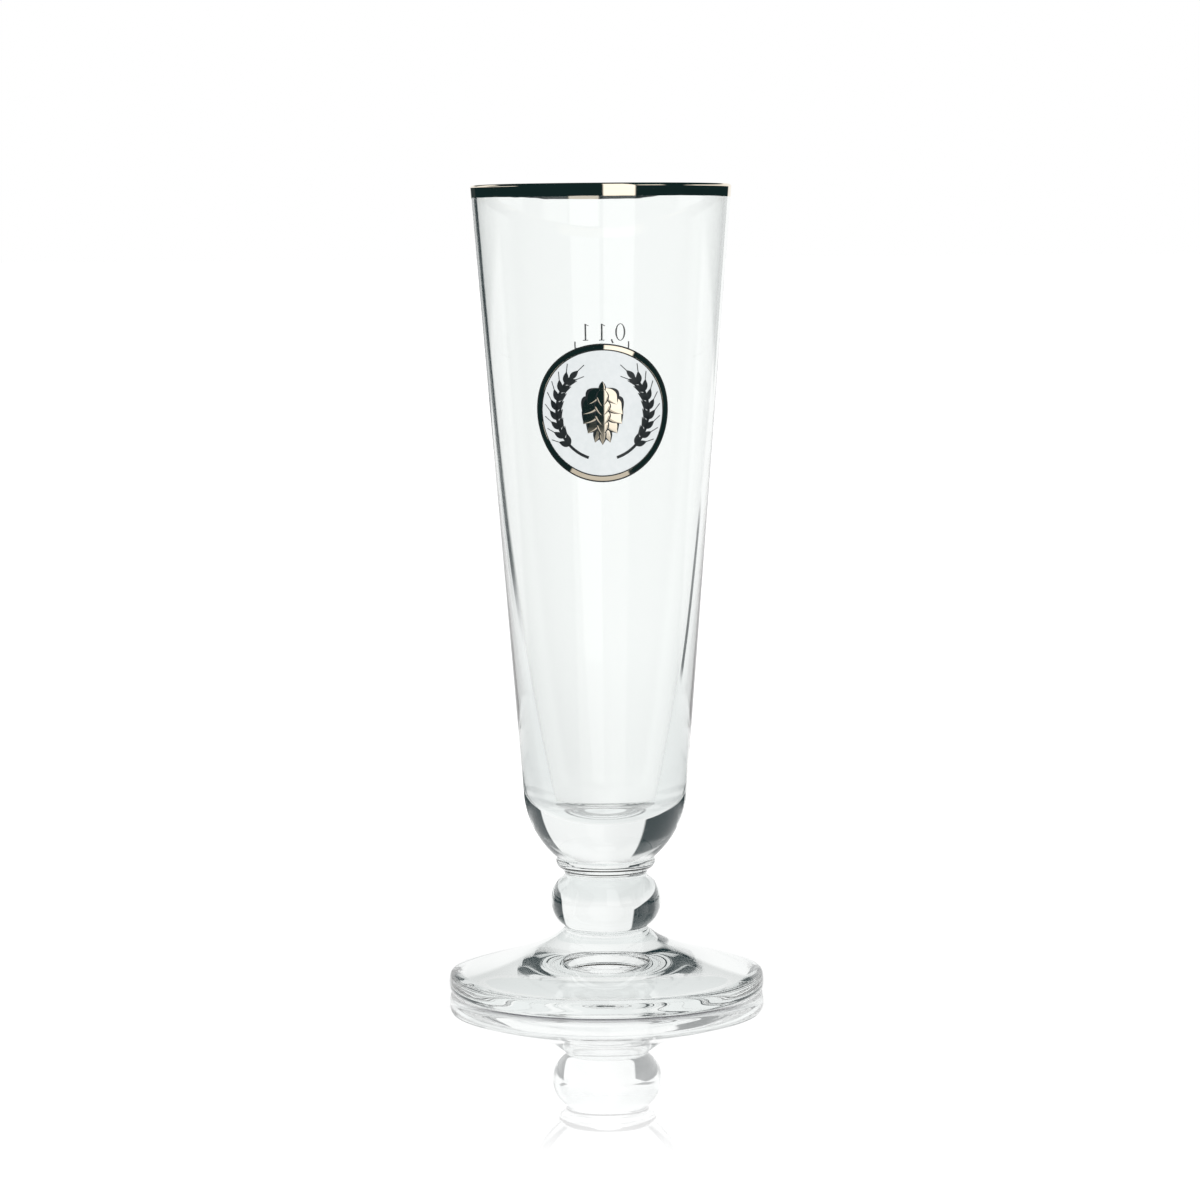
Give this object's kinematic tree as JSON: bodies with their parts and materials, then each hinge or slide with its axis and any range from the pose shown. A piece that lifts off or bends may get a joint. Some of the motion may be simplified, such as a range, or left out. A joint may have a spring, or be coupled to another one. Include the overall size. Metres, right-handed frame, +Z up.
{
  "type": "beer glass",
  "caption": "Stemmed beer glass: a straight conical bowl on a ball knop and disc foot, with a metal rim band and a round enamel badge.",
  "frame": {"origin": "centre of the plane that the foot's standing ring rests on", "axes": "+Z up along the glass's axis of turning, badge towards -Y, capacity mark towards +Y"},
  "size_m": [0.0666, 0.0666, 0.17],
  "materials": {
    "clear_glass": "clear, fire-polished",
    "pale_gold": "bright fired lustre",
    "white_enamel": "satin fired enamel",
    "black_enamel": "satin fired enamel"
  },
  "bodies": {
    "root": {"foot": "clear_glass", "knop": "clear_glass", "collar": "clear_glass", "bowl": "clear_glass", "rim_band": "pale_gold", "badge_ground": "white_enamel", "badge_ring": "pale_gold", "hop_cone": "pale_gold", "barley_ear_left": "black_enamel", "barley_ear_right": "black_enamel"}
  },
  "joints": []
}
